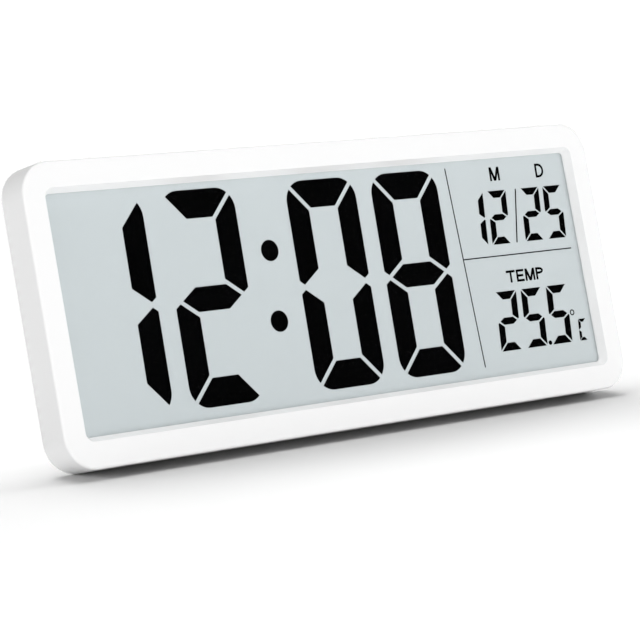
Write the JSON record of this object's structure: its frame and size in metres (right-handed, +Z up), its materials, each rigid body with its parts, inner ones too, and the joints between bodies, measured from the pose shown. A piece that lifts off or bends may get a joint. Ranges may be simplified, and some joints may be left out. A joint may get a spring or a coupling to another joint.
{
  "type": "digital wall clock",
  "caption": "White wall and desk clock with a wide segmented liquid-crystal display of time, date and temperature, a folding rear stand, keyhole hangers and a sliding battery door.",
  "frame": {"origin": "centre of the footprint's box on the floor, with the clock standing on its opened stand", "axes": "+Z up, +X to the right seen from the front along the case's width, +Y to the rear; the case leans back 16 degrees about X"},
  "size_m": [0.3598, 0.0724, 0.1435],
  "materials": {
    "case_plastic": "satin",
    "cover_plastic": "matte",
    "button_plastic": "satin",
    "lcd_film": "satin",
    "lcd_glass": "gloss",
    "lcd_ground": "satin",
    "lcd_seal": "matte",
    "lcd_reflector": "satin",
    "segment_black": "matte",
    "holder_plastic": "matte",
    "zebra_rubber": "matte",
    "board_laminate": "satin",
    "resin": "gloss",
    "crystal_can": "satin",
    "capacitor_ceramic": "matte",
    "sensor_resin": "satin",
    "switch_plastic": "matte",
    "cell_can": "satin",
    "contact_steel": "satin",
    "lead_red": "satin",
    "lead_black": "satin",
    "foot_rubber": "matte",
    "screw_steel": "satin"
  },
  "bodies": {
    "clock_case": {"board_screws": "screw_steel", "bridge_contact": "contact_steel", "case_screws": "screw_steel", "chip_capacitors": "capacitor_ceramic", "contact_springs": "contact_steel", "controller_blob": "resin", "date_segments": "segment_black", "divider_lines": "segment_black", "front_case": "case_plastic", "holder_screws": "screw_steel", "lcd_front_film": "lcd_film", "lcd_front_glass": "lcd_glass", "lcd_holder": "holder_plastic", "lcd_rear_glass": "lcd_ground", "lcd_reflector": "lcd_reflector", "lcd_seal": "lcd_seal", "lower_cell": "cell_can", "main_board": "board_laminate", "negative_contact": "contact_steel", "negative_lead": "lead_black", "positive_contact": "contact_steel", "positive_lead": "lead_red", "rear_cover": "cover_plastic", "switch_housings": "switch_plastic", "temperature_segments": "segment_black", "thermistor": "sensor_resin", "time_segments": "segment_black", "timing_crystal": "crystal_can", "upper_cell": "cell_can", "zebra_connector": "zebra_rubber"},
    "stand_leg": {"stand": "cover_plastic", "stand_foot": "foot_rubber"},
    "battery_lid": {"battery_door": "cover_plastic"},
    "set_key": {"set_button": "button_plastic", "set_plunger": "switch_plastic"},
    "plus_key": {"plus_button": "button_plastic", "plus_plunger": "switch_plastic"},
    "minus_key": {"minus_button": "button_plastic", "minus_plunger": "switch_plastic"},
    "unit_key": {"unit_button": "button_plastic", "unit_plunger": "switch_plastic"}
  },
  "joints": [
    {"name": "stand_fold", "type": "hinge", "parent": "clock_case", "child": "stand_leg", "pos_m": [0, 0.01334, 0.08975], "axis": [-1, 0, 0], "range_deg": [0, 29]},
    {"name": "battery_door_slide", "type": "slide", "parent": "clock_case", "child": "battery_lid", "axis": [1, 0, 0], "range_m": [0, 0.0585]},
    {"name": "set_press", "type": "slide", "parent": "clock_case", "child": "set_key", "axis": [0, -0.9613, 0.2756], "range_m": [0, 0.0006], "stiffness_N_per_m": 150, "springref_m": -0.002},
    {"name": "plus_press", "type": "slide", "parent": "clock_case", "child": "plus_key", "axis": [0, -0.9613, 0.2756], "range_m": [0, 0.0006], "stiffness_N_per_m": 150, "springref_m": -0.002},
    {"name": "minus_press", "type": "slide", "parent": "clock_case", "child": "minus_key", "axis": [0, -0.9613, 0.2756], "range_m": [0, 0.0006], "stiffness_N_per_m": 150, "springref_m": -0.002},
    {"name": "unit_press", "type": "slide", "parent": "clock_case", "child": "unit_key", "axis": [0, -0.9613, 0.2756], "range_m": [0, 0.0006], "stiffness_N_per_m": 150, "springref_m": -0.002}
  ]
}
